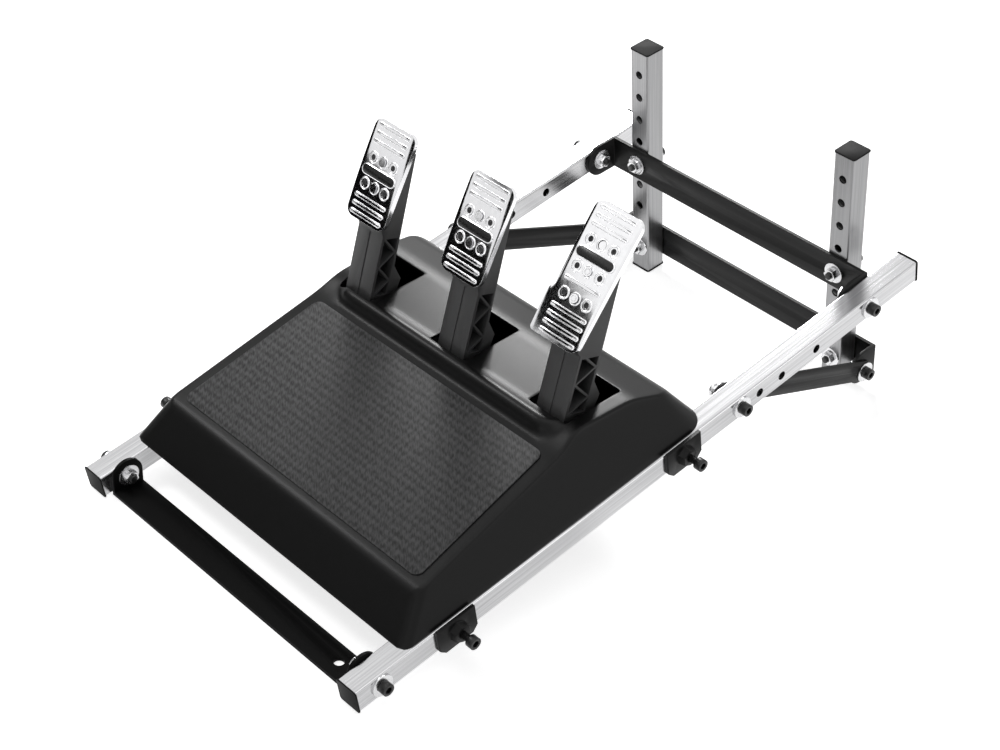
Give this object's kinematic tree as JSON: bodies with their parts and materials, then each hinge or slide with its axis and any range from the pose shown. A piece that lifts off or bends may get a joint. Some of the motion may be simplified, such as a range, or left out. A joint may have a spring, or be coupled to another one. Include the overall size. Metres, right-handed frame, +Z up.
{
  "type": "pedal stand",
  "caption": "Raised square-tube floor stand carrying a sloped pedal box with clutch, brake and accelerator pedals, braced by rear posts with cross plates.",
  "frame": {"origin": "middle of the overall box on the floor", "axes": "+Z up, +Y from the front crossbar toward the posts, +X to the right of a seated user"},
  "size_m": [0.3746, 0.5968, 0.2704],
  "materials": {
    "black_plastic": "fine grain",
    "black_screw": "black oxide",
    "black_steel": "satin black",
    "mat_rubber": "fine woven grid",
    "polished_steel": "polished",
    "satin_tube": "satin brushed",
    "zinc_steel": "bright zinc"
  },
  "bodies": {
    "stand": {"left_rail": "satin_tube", "right_rail": "satin_tube", "left_rail_caps": "black_plastic", "right_rail_caps": "black_plastic", "left_post": "satin_tube", "right_post": "satin_tube", "left_post_caps": "black_plastic", "right_post_caps": "black_plastic", "upper_cross_plate": "black_steel", "lower_cross_plate": "black_steel", "front_crossbar": "black_steel", "left_brace_strap": "black_steel", "right_brace_strap": "black_steel", "front_screws": "black_screw", "brace_screws": "black_screw", "rear_rail_screws": "black_screw", "upper_post_screws": "black_screw", "lower_post_screws": "black_screw", "lower_tab_screws": "black_screw", "nuts_and_washers": "zinc_steel", "front_left_clamp": "black_steel", "front_right_clamp": "black_steel", "rear_left_clamp": "black_steel", "rear_right_clamp": "black_steel", "clamp_screws": "black_screw", "box_shell": "black_plastic", "box_floor": "black_plastic", "foot_mat": "mat_rubber", "pivot_brackets": "black_plastic", "pivot_pins": "zinc_steel"},
    "clutch": {"clutch_arm": "black_plastic", "clutch_face": "polished_steel", "clutch_face_screws": "polished_steel"},
    "brake": {"brake_arm": "black_plastic", "brake_face": "polished_steel", "brake_face_screws": "polished_steel"},
    "accelerator": {"accelerator_arm": "black_plastic", "accelerator_face": "polished_steel", "accelerator_face_screws": "polished_steel"}
  },
  "joints": [
    {"name": "clutch_pivot", "type": "hinge", "parent": "stand", "child": "clutch", "pos_m": [-0.107, -0.06611, 0.09], "axis": [-1, 0, 0], "range_deg": [0, 18], "stiffness_Nm_per_rad": 12, "springref_deg": -12.61},
    {"name": "brake_pivot", "type": "hinge", "parent": "stand", "child": "brake", "pos_m": [0, -0.06218, 0.09076], "axis": [-1, 0, 0], "range_deg": [0, 10], "stiffness_Nm_per_rad": 60, "springref_deg": -4.58},
    {"name": "accelerator_pivot", "type": "hinge", "parent": "stand", "child": "accelerator", "pos_m": [0.107, -0.05825, 0.09153], "axis": [-1, 0, 0], "range_deg": [0, 16], "stiffness_Nm_per_rad": 6, "springref_deg": -16.04}
  ]
}
